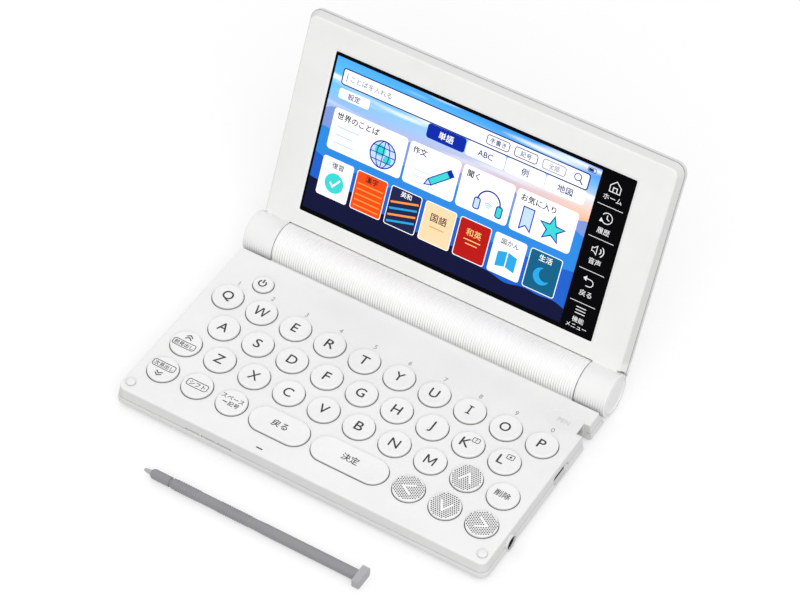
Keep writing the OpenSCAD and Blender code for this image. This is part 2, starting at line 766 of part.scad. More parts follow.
module hinge_caps() {
    color("gainsboro") lid_frame() for (s = [0, 1]) mirror([s, 0, 0]) rotate([90, 0, 90])
        rotate_extrude() polygon([
            [0, knuckle_end - cap_t], [cap_r, knuckle_end - cap_t], [cap_r, knuckle_end - 0.1],
            [cap_r - 0.2, knuckle_end + 0.1], [cap_r - 0.7, knuckle_end + 0.1],
            [cap_r - 1, knuckle_end - 0.25], [0, knuckle_end - 0.25]
        ]);
}

// Turns a profile of radius against X round the axis of the lying stylus
module stylus_turn() {
    translate([0, stylus_y, stylus_z]) rotate([90, 0, 90]) rotate_extrude() children();
}

// Grip: rings of small ribs standing on the barrel between two places
function grip(r, from_x, n) = [for (i = [0:n - 1]) each [
    [r, from_x + i], [r + 0.15, from_x + i + 0.25], [r + 0.15, from_x + i + 0.5], [r, from_x + i + 0.75]
]];

module stylus_barrel() {
    r = stylus_d / 2;
    head_x = stylus_x + stylus_l - head_t;
    color("darkgray") {
        stylus_turn() polygon(concat(
            [
                [0, stylus_x + 2], [0.55, stylus_x + 2], [0.55, stylus_x + nib_l],
                [r - 0.6, stylus_x + nib_l], [r - 0.2, stylus_x + nib_l + 0.8], [r - 0.2, neck_x],
                [r - 0.55, neck_x], [r - 0.55, neck_x + 1.1], [r - 0.15, neck_x + 1.1]
            ],
            grip(r - 0.15, neck_x + grip_from, 10),
            grip(r - 0.15, neck_x + second_grip_from, 13),
            [
                [r - 0.15, neck_x + shoulder_from], [r, neck_x + shoulder_to],
                [r, head_x + 0.5], [0, head_x + 0.5]
            ]
        ));
        translate([head_x, stylus_y, stylus_z]) rotate([90, 0, 90]) linear_extrude(head_t) polygon([
            [-head_w / 2, -head_h / 2 + 0.6], [-head_w / 2 + 0.6, -head_h / 2],
            [head_w / 2 - 0.6, -head_h / 2], [head_w / 2, -head_h / 2 + 0.6],
            [head_w / 2, head_h / 2 - 0.6], [head_w / 2 - 0.6, head_h / 2],
            [-head_w / 2 + 0.6, head_h / 2], [-head_w / 2, head_h / 2 - 0.6]
        ]);
    }
}

module stylus_tip() {
    color("gray") stylus_turn() polygon([
        [0, stylus_x], [0.4, stylus_x + 0.1], [0.65, stylus_x + 0.5], [1.05, stylus_x + nib_l],
        [0.55, stylus_x + nib_l], [0.55, stylus_x + 2], [0, stylus_x + 2]
    ]);
}

// Section of a key from its middle outwards: a hollow cap with a post, a flange and a dished top
function key_section(r) = [
    [0, key_low], [post_r, key_low], [post_r, key_top - 1.8], [r - key_shell, key_top - 1.8],
    [r - key_shell, key_low], [r + key_flange, key_low], [r + key_flange, flange_z], [r, flange_z],
    [r, key_top - 0.45], [r - 0.13, key_top - 0.13], [r - 0.45, key_top], [r - 1.5, key_top - 0.05],
    [r * 0.45, key_top - dish * 0.8], [0, key_top - dish]
];

module key_cap(k) {
    r = k[2];
    run = k[3];
    color("white") translate([k[1][0], k[1][1], 0]) {
        if (run > 0) {
            for (s = [-1, 1]) translate([s * run / 2, 0, 0]) rotate(-90 * s)
                rotate_extrude(angle = 180) polygon(key_section(r));
            for (s = [0, 1]) mirror([s, 0, 0]) rotate([90, 0, 90]) linear_extrude(run / 2)
                for (t = [0, 1]) mirror([t, 0]) polygon(key_section(r));
        } else rotate_extrude() polygon(key_section(r));
    }
}

lower_case();
upper_case();
hinge_barrel();
battery_cover();
battery_cells();
battery_contacts();
circuit_board();
key_sheet();
headphone_jack();
usb_socket();
speaker();
rubber_feet();
bump_stops();
case_screws();
hinge_shafts();
lid_bezel();
lid_cover();
touch_glass();
lcd_panel();
hinge_caps();
stylus_barrel();
stylus_tip();
for (k = KEYS) key_cap(k);
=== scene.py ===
import functools
import math

import bpy
import numpy as np
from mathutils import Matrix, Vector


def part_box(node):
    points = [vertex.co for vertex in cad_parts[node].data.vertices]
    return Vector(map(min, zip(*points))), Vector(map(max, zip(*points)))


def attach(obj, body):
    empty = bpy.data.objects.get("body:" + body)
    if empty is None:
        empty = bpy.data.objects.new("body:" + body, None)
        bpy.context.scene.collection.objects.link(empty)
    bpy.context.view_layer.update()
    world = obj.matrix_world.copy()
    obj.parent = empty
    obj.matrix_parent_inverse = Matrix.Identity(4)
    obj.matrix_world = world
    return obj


bl_info = {
    "name": "Electronic dictionary looks",
    "version": (1, 0),
    "blender": (4, 5, 0),
    "location": "3D View > Sidebar > Dictionary",
    "description": "Finishes, prints, display and stage of an electronic dictionary with a hinged lid",
    "category": "Object",
}

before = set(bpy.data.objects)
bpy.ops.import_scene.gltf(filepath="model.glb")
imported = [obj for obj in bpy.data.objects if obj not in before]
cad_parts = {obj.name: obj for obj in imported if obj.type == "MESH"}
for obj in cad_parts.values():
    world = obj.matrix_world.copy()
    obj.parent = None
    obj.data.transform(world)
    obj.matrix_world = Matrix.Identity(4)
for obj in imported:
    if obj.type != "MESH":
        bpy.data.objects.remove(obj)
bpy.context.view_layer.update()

MM = 0.001
LETTERS = "qwertyuiopasdfghjklzxcvbnm"
DIGIT_ROW = "qwertyuiop"
# Letters that are drawn out along x, and letters moved along x, in millimetres
WIDTHS = {"b": 1.12, "c": 0.95, "f": 1.08, "g": 0.97, "k": 1.05, "l": 1.05, "o": 0.95, "p": 1.06,
          "r": 1.14, "s": 1.12, "v": 1.04, "x": 0.94}
LEANS = {"a": -0.13, "b": 0.22, "c": -0.2, "d": 0.12, "f": 0.1, "g": -0.22, "h": 0.03, "i": -0.16,
         "j": -0.25, "n": 0.07, "o": -0.24, "p": -0.15, "r": 0.2, "u": -0.08, "z": -0.17}
ARROWS = {"key_left": 180, "key_up": 90, "key_right": 0, "key_down": -90}
LID_ANGLE = math.radians(66.5)
HINGE = np.array([0.0, 36.8, 8.85])
GLASS_DEPTH = 1.75
UP = (0.0, 0.0, 1.0)
LID_UP = (0.0, math.cos(LID_ANGLE), math.sin(LID_ANGLE))
LID_OUT = (0.0, -math.sin(LID_ANGLE), math.cos(LID_ANGLE))
LID_SEAM = -5.22
BASE_SEAM = 4.42
KNUCKLE_TOP = 11.0
BARREL_RIBS = (63.7, 125)
DOOR_RIBS = (53.2, 104)
DECK = 9.0
THUMB_RECESS = 0.4
MITRE_LIMIT = 0.35
INK = 0.04
# Heights over the glass of what the display shows
TOUCH_INK, TAB, CARD, UNDERLAY, PICTURE, LINE = 0.02, 0.06, 0.07, 0.085, 0.09, 0.1


def linear(red, green, blue):
    """Linear values of an 8-bit screen colour, by the usual two-part curve."""
    c = np.array([red, green, blue]) / 255
    return tuple(np.where(c <= 0.04045, c / 12.92, ((c + 0.055) / 1.055) ** 2.4).round(4).tolist())


# Surfaces and prints

def key_place(name):
    """Middle of a key's top, the half length of its straight run, and its radius, in millimetres."""
    low, high = (np.array(c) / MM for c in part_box(name))
    flange = 0.6
    half = (high - low) / 2 - [flange, flange, 0]
    return np.array([*(low + high)[:2] / 2, high[2]]), half[0] - half[1], half[1]


def deck_face(points, height):
    """The keyboard deck: x and y as drawn, z is the deck's height plus the print's."""
    return np.column_stack([points, np.full(len(points), DECK + height)])


def key_face(name):
    """The dished top of a key: z falls with the distance from the rim, along the dish's three slopes."""
    (x, y, top), run, radius = key_place(name)

    def face(points, height):
        across = np.maximum(np.abs(points[:, 0]) - run, 0)
        r = np.hypot(across, points[:, 1])
        z = np.interp(r, [0, 0.45 * radius, radius - 1.5, radius - 0.45], [-0.2, -0.16, -0.05, 0])
        return np.column_stack([points[:, 0] + x, points[:, 1] + y, z + top + height])
    return face


def lid_face(points, height):
    """The glass: x along the hinge, y up the lid, height out of the glass, turned up to the lid's angle."""
    flat = HINGE + np.outer(points[:, 1], LID_UP) + (height - GLASS_DEPTH) * np.array(LID_OUT)
    flat[:, 0] += points[:, 0]
    return flat


def finish_mesh(name, points, faces, materials, numbers, body, depth=0.0):
    """A mesh object at the origin from points in millimetres, with a thickness behind its faces if asked."""
    mesh = bpy.data.meshes.new(name)
    mesh.from_pydata((np.asarray(points) * MM).tolist(), [], faces)
    for material in materials:
        mesh.materials.append(material)
    mesh.polygons.foreach_set("material_index", np.array(numbers, dtype=np.int32))
    mesh.update()
    obj = bpy.data.objects.new(name, mesh)
    bpy.context.scene.collection.objects.link(obj)
    if depth:
        solid = obj.modifiers.new("thickness", "SOLIDIFY")
        solid.thickness = depth * MM
        solid.offset = -1
    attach(obj, body)
    return obj


@functools.lru_cache(maxsize=None)
def glyphs(words):
    """A line of text one unit high as flat points and faces, with the middle of its box at the origin."""
    curve = bpy.data.curves.new("words", "FONT")
    curve.body = words
    curve.resolution_u = 4
    holder = bpy.data.objects.new("words", curve)
    bpy.context.scene.collection.objects.link(holder)
    shown = holder.evaluated_get(bpy.context.evaluated_depsgraph_get())
    mesh = bpy.data.meshes.new_from_object(shown)
    points = np.empty(len(mesh.vertices) * 3)
    mesh.vertices.foreach_get("co", points)
    points = points.reshape(-1, 3)[:, :2]
    faces = [list(p.vertices) for p in mesh.polygons]
    bpy.data.objects.remove(holder)
    bpy.data.curves.remove(curve)
    bpy.data.meshes.remove(mesh)
    return points - (points.min(0) + points.max(0)) / 2, faces


def box_outline(x0, y0, x1, y1, r=0.0, steps=5):
    """A rectangle with round corners: four quarter circles of radius r, each at a corner drawn in by r."""
    if r <= 0:
        return np.array([[x0, y0], [x1, y0], [x1, y1], [x0, y1]], float)
    turn = np.linspace(0, math.pi / 2, steps)
    quarter = np.column_stack([np.cos(turn), np.sin(turn)]) * r
    corners = [(x1 - r, y1 - r, 0), (x0 + r, y1 - r, 1), (x0 + r, y0 + r, 2), (x1 - r, y0 + r, 3)]
    out = []
    for cx, cy, quarters in corners:
        c, s = round(math.cos(quarters * math.pi / 2)), round(math.sin(quarters * math.pi / 2))
        out.append(quarter @ np.array([[c, s], [-s, c]]) + [cx, cy])
    return np.vstack(out)


def arc(cx, cy, r, start, end, steps=16):
    """Points on a circle between two angles in degrees."""
    a = np.radians(np.linspace(start, end, steps))
    return np.column_stack([cx + r * np.cos(a), cy + r * np.sin(a)])


def refined(path, step):
    """The path with points added at every whole step of its running length, so that it can follow a dish."""
    run = np.concatenate([[0], np.cumsum(np.linalg.norm(np.diff(path, axis=0), axis=1))])
    at = np.unique(np.concatenate([run, np.arange(step, run[-1], step)]).round(3))
    return np.column_stack([np.interp(at, run, path[:, k]) for k in (0, 1)])


class Print:
    """Flat shapes printed on one face: outlines in millimetres, each with a height and a finish number."""

    def __init__(self, face, middle=(0, 0), step=100.0):
        self.face, self.middle, self.step = face, np.array(middle, float), step
        self.points, self.faces, self.numbers, self.count = [], [], [], 0

    def add(self, flat, faces, height, finish):
        """Lays flat points on the face, and keeps their faces counted on from those already there."""
        self.points.append(self.face(np.asarray(flat, float) + self.middle, height))
        self.faces += [(np.asarray(f) + self.count).tolist() for f in faces]
        self.numbers += [finish] * len(faces)
        self.count += len(flat)

    def shape(self, outline, height=0.0, finish=0):
        """A filled outline, turned to run anticlockwise: the sign of its shoelace area says which way."""
        o = np.asarray(outline, float)
        x, y = o.T
        if np.sum(x * np.roll(y, -1) - y * np.roll(x, -1)) < 0:
            o = o[::-1]
        self.add(o, [list(range(len(o)))], height, finish)

    def line(self, path, width, height=0.0, finish=0, closed=False):
        """A stroke: each point moves half the width to both sides, along the mitre of its two neighbours."""
        p = np.asarray(path, float)
        if closed:
            p = refined(np.vstack([p, p[:1]]), self.step)[:-1]
        else:
            p = refined(p, self.step)
        step = np.roll(p, -1, 0) - p if closed else np.diff(p, axis=0)
        side = np.column_stack([-step[:, 1], step[:, 0]]) / np.linalg.norm(step, axis=1)[:, None]
        before = np.roll(side, 1, 0) if closed else np.vstack([side[:1], side])
        after = side if closed else np.vstack([side, side[-1:]])
        mitre = (before + after) / np.maximum(1 + np.sum(before * after, axis=1), MITRE_LIMIT)[:, None]
        n = len(p)
        both = np.vstack([p - mitre * width / 2, p + mitre * width / 2])
        spans = [(i, (i + 1) % n) for i in range(n if closed else n - 1)]
        self.add(both, [[i, j, j + n, i + n] for i, j in spans], height, finish)

    def outline(self, outline, width, height=0.0, finish=0):
        """A stroke along a closed outline."""
        self.line(outline, width, height, finish, closed=True)

    def level(self, left, right, y, width, height=0.0, finish=0):
        """A straight stroke from left to right."""
        self.line([[left, y], [right, y]], width, height, finish)

    def words(self, text, x, y, size, height=0.0, finish=0, weight=0.01, wide=1.0):
        """A line of text with the middle of its box at x, y, drawn out along x where asked. It is laid down
        four times, each moved by the weight's share of the size to one side, for heavier strokes."""
        flat, faces = glyphs(text)
        for layer, move in enumerate(((-weight, 0), (weight, 0), (0, -weight), (0, weight))):
            self.add((flat * [wide, 1] + move) * size + [x, y], faces, height + 0.001 * layer, finish)

    def build(self, name, materials, body, slot, depth=0.02):
        """One mesh object of all that was drawn, with the depth of the ink behind its face."""
        return finish_mesh(
            name, np.vstack(self.points), self.faces, materials, self.numbers, body, depth)


# Finishes

def bare_material(name, colour, roughness, metallic=0.0, specular=0.5):
    """A node material with one colour, and its shader."""
    material = bpy.data.materials.new(name)
    material.use_nodes = True
    shader = material.node_tree.nodes["Principled BSDF"]
    shader.inputs["Base Color"].default_value = (*colour, 1)
    shader.inputs["Roughness"].default_value = roughness
    shader.inputs["Metallic"].default_value = metallic
    shader.inputs["Specular IOR Level"].default_value = specular
    return material, shader


def noise_on_object(tree, scale, detail=3.0):
    """Noise on the piece's own coordinates, with scale in waves per metre."""
    place = tree.nodes.new("ShaderNodeTexCoord")
    noise = tree.nodes.new("ShaderNodeTexNoise")
    noise.inputs["Scale"].default_value = scale
    noise.inputs["Detail"].default_value = detail
    tree.links.new(place.outputs["Object"], noise.inputs["Vector"])
    return noise.outputs["Fac"]


def spread(tree, value, low, high, out_low, out_high):
    """Maps one range of a value to another range, and holds it at both ends."""
    node = tree.nodes.new("ShaderNodeMapRange")
    sockets = ("From Min", "From Max", "To Min", "To Max")
    for socket, number in zip(sockets, (low, high, out_low, out_high)):
        node.inputs[socket].default_value = number
    tree.links.new(value, node.inputs["Value"])
    return node.outputs["Result"]


def moulded(name, colour, roughness=0.42, mottle=0.018, grain=3200.0, relief=0.05, **more):
    """Moulded plastic: broad noise shifts the tone by the mottle, and fine noise roughens and dents it."""
    material, shader = bare_material(name, colour, roughness, **more)
    tree = material.node_tree
    tone = tree.nodes.new("ShaderNodeMix")
    tone.data_type = "RGBA"
    tone.inputs["A"].default_value = (*[c * (1 - mottle) for c in colour], 1)
    tone.inputs["B"].default_value = (*[min(c * (1 + mottle), 1) for c in colour], 1)
    broad = spread(tree, noise_on_object(tree, 70), 0.3, 0.7, 0, 1)
    tree.links.new(broad, tone.inputs["Factor"])
    tree.links.new(tone.outputs["Result"], shader.inputs["Base Color"])
    fine = noise_on_object(tree, grain, 2.0)
    rough = spread(tree, fine, 0.3, 0.7, roughness * 0.9, roughness * 1.12)
    tree.links.new(rough, shader.inputs["Roughness"])
    bump = tree.nodes.new("ShaderNodeBump")
    bump.inputs["Strength"].default_value = relief
    bump.inputs["Distance"].default_value = 0.00005
    tree.links.new(fine, bump.inputs["Height"])
    tree.links.new(bump.outputs["Normal"], shader.inputs["Normal"])
    return material


def along(tree, axis):
    """How far a point stands along one axis of its piece, in metres."""
    place = tree.nodes.new("ShaderNodeTexCoord")
    apart = tree.nodes.new("ShaderNodeSeparateXYZ")
    tree.links.new(place.outputs["Object"], apart.inputs[0])
    return apart.outputs[axis]


def reckon(tree, operation, *values):
    """One step of arithmetic on sockets or numbers."""
    node = tree.nodes.new("ShaderNodeMath")
    node.operation = operation
    for socket, value in zip(node.inputs, values):
        if isinstance(value, bpy.types.NodeSocket):
            tree.links.new(value, socket)
        else:
            socket.default_value = value
    return node.outputs[0]


def overlaid(material, share, colour):
    """Mixes a share of a second colour into the base colour of a finish."""
    tree = material.node_tree
    base = tree.nodes["Principled BSDF"].inputs["Base Color"]
    mix = tree.nodes.new("ShaderNodeMix")
    mix.data_type = "RGBA"
    tree.links.new(base.links[0].from_socket, mix.inputs["A"])
    mix.inputs["B"].default_value = (*colour, 1)
    tree.links.new(share, mix.inputs["Factor"])
    tree.links.new(mix.outputs["Result"], base)
    return material


def graded(material, axis, start, end, colour):
    """The second colour fills the piece up to start and is gone at end, in millimetres along the axis."""
    tree = material.node_tree
    return overlaid(material, spread(tree, along(tree, axis), start * MM, end * MM, 1, 0), colour)


def dotted(tree, axis):
    """How far the piece's own place lies along an axis from the lid's hinge line, in metres."""
    place = tree.nodes.new("ShaderNodeTexCoord")
    dot = tree.nodes.new("ShaderNodeVectorMath")
    dot.operation = "DOT_PRODUCT"
    dot.inputs[1].default_value = axis
    tree.links.new(place.outputs["Object"], dot.inputs[0])
    return reckon(tree, "SUBTRACT", dot.outputs["Value"], float(HINGE @ np.array(axis)) * MM)


def rimmed(material, start, end, colour):
    """The second colour on the lid's rim: up to start along the lid's thickness and gone at end, both in
    millimetres, and only beyond the hinge knuckles."""
    tree = material.node_tree
    deep = spread(tree, dotted(tree, LID_OUT), start * MM, end * MM, 1, 0)
    beyond = spread(tree, dotted(tree, LID_UP), KNUCKLE_TOP * MM, (KNUCKLE_TOP + 2) * MM, 0, 1)
    return overlaid(material, reckon(tree, "MULTIPLY", deep, beyond), colour)


def scored(material, axis, at, width, colour):
    """A line of the second colour at a place along the axis, in millimetres from the hinge line: one less
    the distance from it over the width, cut off below zero."""
    tree = material.node_tree
    off = reckon(tree, "ABSOLUTE", reckon(tree, "SUBTRACT", dotted(tree, axis), at * MM))
    return overlaid(material, spread(tree, off, 0, width * MM, 1, 0), colour)


def ribbed(name, colour, groove_shade, ribs, roughness=0.4, deep=0.5, top=15.0, rest=0.04):
    """Moulded plastic with painted shade in its grooves, darker towards the deck: a cosine along X with one
    wave for each rib and its peaks in the grooves, cut off below zero, times a share that grows from rest to
    deep as Z falls. The ribs are half the length they stand on, in millimetres, and their count."""
    end, count = ribs
    material = moulded(name, colour, roughness)
    tree = material.node_tree
    pitch = 2 * end / count
    angle = reckon(tree, "MULTIPLY_ADD", along(tree, "X"), 2 * math.pi / (pitch * MM),
                   2 * math.pi * (end / pitch - 0.8))
    wave = reckon(tree, "MAXIMUM", reckon(tree, "COSINE", angle), 0.0)
    low = spread(tree, along(tree, "Z"), 10 * MM, top * MM, deep, rest)
    return overlaid(material, reckon(tree, "MULTIPLY", wave, low), groove_shade)


def glowing(name, colour, glow):
    """Print of the lit display: the colour both reflects and shines."""
    material, shader = bare_material(name, colour, 0.25, specular=0.06)
    shader.inputs["Emission Color"].default_value = (*colour, 1)
    shader.inputs["Emission Strength"].default_value = glow
    return material


def dress(material, *nodes):
    """Puts a finish on the slots of the named nodes."""
    for node in nodes:
        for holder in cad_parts[node].material_slots:
            holder.material = material


# What a user may change

def colour_property(name, description, *rgb):
    """A colour setting whose default is an 8-bit screen colour."""
    return bpy.props.FloatVectorProperty(
        name=name, description=description, subtype="COLOR", size=3, min=0, max=1, default=linear(*rgb))


class DictionaryShell(bpy.types.PropertyGroup):
    """Colours of the plastic shells, with a painted shade for their sides, and what is printed on them"""
    shell: colour_property("Shell", "Colour of the deck and the bezel", 240, 240, 239)
    lower: colour_property("Lower shell", "Colour of the lid's back", 241, 241, 240)
    # Painted shade: a darker tone in place of the shade on the tray, on the side faces round the shells and
    # on the lid's rim
    wall_shade: colour_property("Walls", "Colour of the tray and of the walls round the shells", 224, 224, 223)
    barrel: colour_property("Barrel", "Colour of the ribbed battery barrel", 250, 250, 249)
    keys: colour_property("Keys", "Colour of the key caps", 241, 241, 240)
    legend: colour_property("Legends", "Colour of the letters on the keys", 38, 37, 38)
    digit: colour_property("Digits", "Colour of the small digits on the deck", 152, 152, 154)
    dots: colour_property("Dots", "Colour of the dot pattern on the arrow keys", 54, 54, 56)
    letter_size: bpy.props.FloatProperty(
        name="Letter size", description="Type size of the key letters in millimetres",
        default=5.78, min=3, max=7)


class DictionaryDisplay(bpy.types.PropertyGroup):
    """Colours and brightness of the lit display"""
    glow: bpy.props.FloatProperty(
        name="Glow", description="Light that the display gives", default=0.22, min=0, max=2)
    white: colour_property("White", "Paper white of the cards and the search bar", 252, 253, 255)
    ink: colour_property("Ink", "Dark blue of outlines and words", 22, 36, 110)
    accent: colour_property("Accent", "Strong blue of the active tab and the icons", 8, 40, 160)
    pale: colour_property("Pale blue", "Pale blue inside the icons", 190, 214, 252)
    aqua: colour_property("Aqua", "Aqua inside the icons", 60, 205, 205)


class DictionaryStylus(bpy.types.PropertyGroup):
    """Colours of the loose stylus"""
    barrel: colour_property("Barrel", "Colour of the stylus barrel", 142, 142, 145)
    head: colour_property("Head", "Colour of the head at the end of the stylus", 172, 172, 174)
    nib: colour_property("Nib", "Colour of the stylus nib", 176, 176, 178)


class DictionaryStage(bpy.types.PropertyGroup):
    """Floor and light"""
    floor: colour_property("Floor", "Colour that the floor reflects", 200, 200, 200)
    floor_lift: bpy.props.FloatProperty(
        name="Floor lift", description="Glow that brings the floor up to white where it is seen",
        default=0.45, min=0, max=1)
    key_light: bpy.props.FloatProperty(
        name="Key light", description="Power of the large lamp at the front right", subtype="POWER",
        default=9.0, min=0, max=50)
    back_light: bpy.props.FloatProperty(
        name="Back light", description="Power of the lamp at the back left", subtype="POWER",
        default=1.5, min=0, max=50)
    sky_light: bpy.props.FloatProperty(
        name="Sky light", description="Level of the even light from all round", default=0.72, min=0, max=2)


# Operators: case

class CaseFinish(bpy.types.Operator):
    """Gives the shells, the hinge barrel, the caps and the feet their plastics, with painted shade on the
    shells' sides, along the seams and in the ribs' grooves
    """
    bl_idname = "dictionary.case_finish"
    bl_label = "Finish the case"

    def execute(self, context):
        colours = context.scene.dictionary_shell
        # Painted shade: a dark line along the shells' seams, where the shade falls into the gaps
        shade_line = linear(150, 150, 151)
        # Painted shade: the upper shell darkens below the deck's edge, on its side faces
        deck = graded(moulded("satin shell", colours.shell, 0.46), "Z", 8.0, 8.7, colours.wall_shade)
        dress(scored(deck, UP, BASE_SEAM - HINGE[2], 0.3, shade_line), "upper_case")
        # Painted shade: the whole tray takes the darker tone of shaded sides
        tray = moulded("smooth shell", colours.wall_shade, 0.36)
        # Painted shadow along the tray's bottom edge, under its rounding
        dress(scored(tray, UP, -HINGE[2], 1.2, shade_line), "lower_case")
        # Painted shade: the lid's back is darker on its rim
        back = rimmed(moulded("smooth lid shell", colours.lower, 0.36), 0, 1, colours.wall_shade)
        dress(scored(back, LID_OUT, LID_SEAM, 0.35, shade_line), "lid_cover")
        # Painted shade in the grooves of the ribs, darker on their lower side
        groove_shade = linear(120, 119, 122)
        dress(ribbed("ribbed tube", colours.barrel, groove_shade, BARREL_RIBS), "hinge_barrel")
        dress(ribbed("ribbed door", colours.barrel, groove_shade, DOOR_RIBS), "battery_cover")
        # Painted shade in the grooves of the bezel's ribbed knuckles
        bezel = ribbed("lid shell", colours.shell, groove_shade, BARREL_RIBS, 0.46, 0.3, 13.0, 0.0)
        # Painted shade: the bezel is darker on its rim beyond the knuckles
        bezel = rimmed(bezel, -2.3, -1.7, colours.wall_shade)
        dress(scored(bezel, LID_OUT, LID_SEAM, 0.35, shade_line), "lid_bezel")
        dress(moulded("hinge cap plastic", linear(243, 243, 243), 0.4), "hinge_caps")
        bump = moulded("soft bump", linear(238, 238, 238), 0.6)
        # Painted shade: the bump stops darken towards the deck, round their feet
        dress(graded(bump, "Z", DECK, DECK + 0.8, linear(176, 176, 177)), "bump_stops")
        dress(moulded("foot rubber", linear(150, 151, 154), 0.75, 0.05, 1500), "rubber_feet")
        return {"FINISHED"}


class PortFinish(bpy.types.Operator):
    """Gives the sockets in the right side their metals and dark plastics"""
    bl_idname = "dictionary.port_finish"
    bl_label = "Finish the sockets"

    def execute(self, context):
        dress(moulded("socket black", linear(8, 8, 9), 0.5, specular=0.2), "headphone_jack")
        sheet_metal = moulded("socket sheet metal", linear(168, 168, 170), 0.32, 0.05, 900, metallic=1.0)
        dress(sheet_metal, "usb_socket")
        return {"FINISHED"}


class InsideFinish(bpy.types.Operator):
    """Gives the cells, contacts, board, sheet, speaker and metal parts inside their finishes"""
    bl_idname = "dictionary.inside_finish"
    bl_label = "Finish the inside"

    def execute(self, context):
        finishes = (
            # name, colour, roughness, mottle, grain, metallic, nodes
            ("turned steel", (190, 190, 192), 0.3, 0.04, 1800, 1.0, "case_screws", "hinge_shafts"),
            ("cell sleeve", (196, 198, 202), 0.3, 0.05, 400, 0.6, "battery_cells"),
            ("nickel spring", (206, 202, 190), 0.28, 0.04, 1800, 1.0, "battery_contacts"),
            ("solder resist", (18, 92, 58), 0.35, 0.12, 900, 0.0, "circuit_board"),
            ("silicone sheet", (210, 210, 208), 0.6, 0.03, 1200, 0.0, "key_sheet"),
            ("speaker basket", (60, 60, 62), 0.4, 0.05, 900, 0.0, "speaker"),
        )
        for name, rgb, roughness, mottle, grain, metallic, *nodes in finishes:
            dress(moulded(name, linear(*rgb), roughness, mottle, grain, metallic=metallic), *nodes)
        return {"FINISHED"}


class KeyFinish(bpy.types.Operator):
    """Gives the key caps their plastic, with painted shade on their sides near the deck, and the arrow keys
    their dots and chevrons
    """
    bl_idname = "dictionary.key_finish"
    bl_label = "Finish the keys"

    def execute(self, context):
        colours = context.scene.dictionary_shell
        caps = [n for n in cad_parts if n.startswith("key_") and n != "key_sheet"]
        # Painted shade: the caps' sides darken down to the deck, in place of the shade in the gap round each
        # key
        foot = linear(140, 140, 142)
        plastic = moulded("key plastic", colours.keys, 0.4)
        dress(graded(plastic, "Z", DECK - 0.2, DECK + 0.85, foot), *caps)
        dots = moulded("dot ink", colours.dots, 0.5)
        white = moulded("white ink", linear(250, 250, 250), 0.5)
        for name, heading in ARROWS.items():
            self.pattern(name, heading, dots, white)
        return {"FINISHED"}

    def pattern(self, name, heading, dots, white):
        """A lattice of dots over the cap in equal triangles, whose rows stand across the arrow and start at
        its tip. The chevron runs down two lines of the lattice, which stay free of dots."""
        radius = key_place(name)[2]
        sheet = Print(key_face(name), step=0.8)
        turn = math.radians(heading)
        c, s = math.cos(turn), math.sin(turn)
        turned = np.array([[c, s], [-s, c]])
        pitch, tip, steps = 0.85, 2.2, 5
        dot, edge, clear, stroke = 0.27, 0.35, 0.3, 0.62
        row = pitch * math.sqrt(0.75)
        back, side = tip - steps * row, steps * pitch / 2
        chevron = np.array([[back, side], [tip, 0], [back, -side]]) @ turned
        lines = np.arange(-12, 13)
        x, y = np.meshgrid(tip + lines * row, lines * pitch)
        spots = np.column_stack([x.ravel(), (y + lines % 2 * pitch / 2).ravel()]) @ turned
        spots = spots[np.hypot(*spots.T) < radius - edge]
        away = np.full(len(spots), np.inf)
        for a, b in zip(chevron[:-1], chevron[1:]):
            share = np.clip((spots - a) @ (b - a) / ((b - a) @ (b - a)), 0, 1)
            away = np.minimum(away, np.linalg.norm(spots - a - share[:, None] * (b - a), axis=1))
        disc = arc(0, 0, dot, 0, 315, 8)
        for spot in spots[away > clear]:
            sheet.shape(disc + spot, INK, 0)
        sheet.line(chevron + (chevron - chevron[1]) * 0.07, stroke, INK, 1)
        sheet.build(name + "_pattern", [dots, white], name, "key")


# Operators: prints on keys and deck

class LetterPrint(bpy.types.Operator):
    """Prints the letters on the letter keys, with the small boxed signs beside K and L"""
    bl_idname = "dictionary.letter_print"
    bl_label = "Print the letters"

    def execute(self, context):
        colours = context.scene.dictionary_shell
        ink = moulded("legend ink", colours.legend, 0.5)
        for letter in LETTERS:
            name = "key_" + letter
            sheet = Print(key_face(name), (-0.13, 0.1), step=0.8)
            shift = {"k": -1.1, "l": -1.35}.get(letter, 0) + LEANS.get(letter, 0)
            if letter == "i":
                sheet.line([[shift, -2.0], [shift, 2.0]], 0.56, INK)
                for end in (-1.83, 1.83):
                    sheet.level(shift - 0.9, shift + 0.9, end, 0.42, INK)
            elif letter == "m":
                for side in (-1, 1):
                    sheet.line([[side * 1.75, -2.07], [side * 1.75, 2.07]], 0.58, INK)
                    sheet.line([[side * 1.65, 1.95], [0, -1.2]], 0.56, INK + 0.004)
            elif letter == "w":
                for side in (-1, 1):
                    sheet.line([[side * 2.45, 2.07], [side * 1.28, -2.07]], 0.58, INK)
                    sheet.line([[side * 1.33, -2.07], [side * 0.05, 1.98]], 0.56, INK + 0.004)
            else:
                sheet.words(letter.upper(), shift, 0, colours.letter_size, INK, weight=0.008,
                            wide=WIDTHS.get(letter, 1.0))
            if letter in "kl":
                x, y = (1.85, 2.6) if letter == "k" else (1.25, 2.4)
                sheet.outline(box_outline(x - 1.35, y - 1.0, x + 1.35, y + 1.0, 0.4), 0.26, INK)
                if letter == "k":
                    sheet.words("?", x, y, 2.1, INK)
                else:
                    sheet.shape(arc(x, y, 0.45, 0, 330, 12), INK)
            sheet.build(name + "_letter", [ink], name, "key")
        return {"FINISHED"}


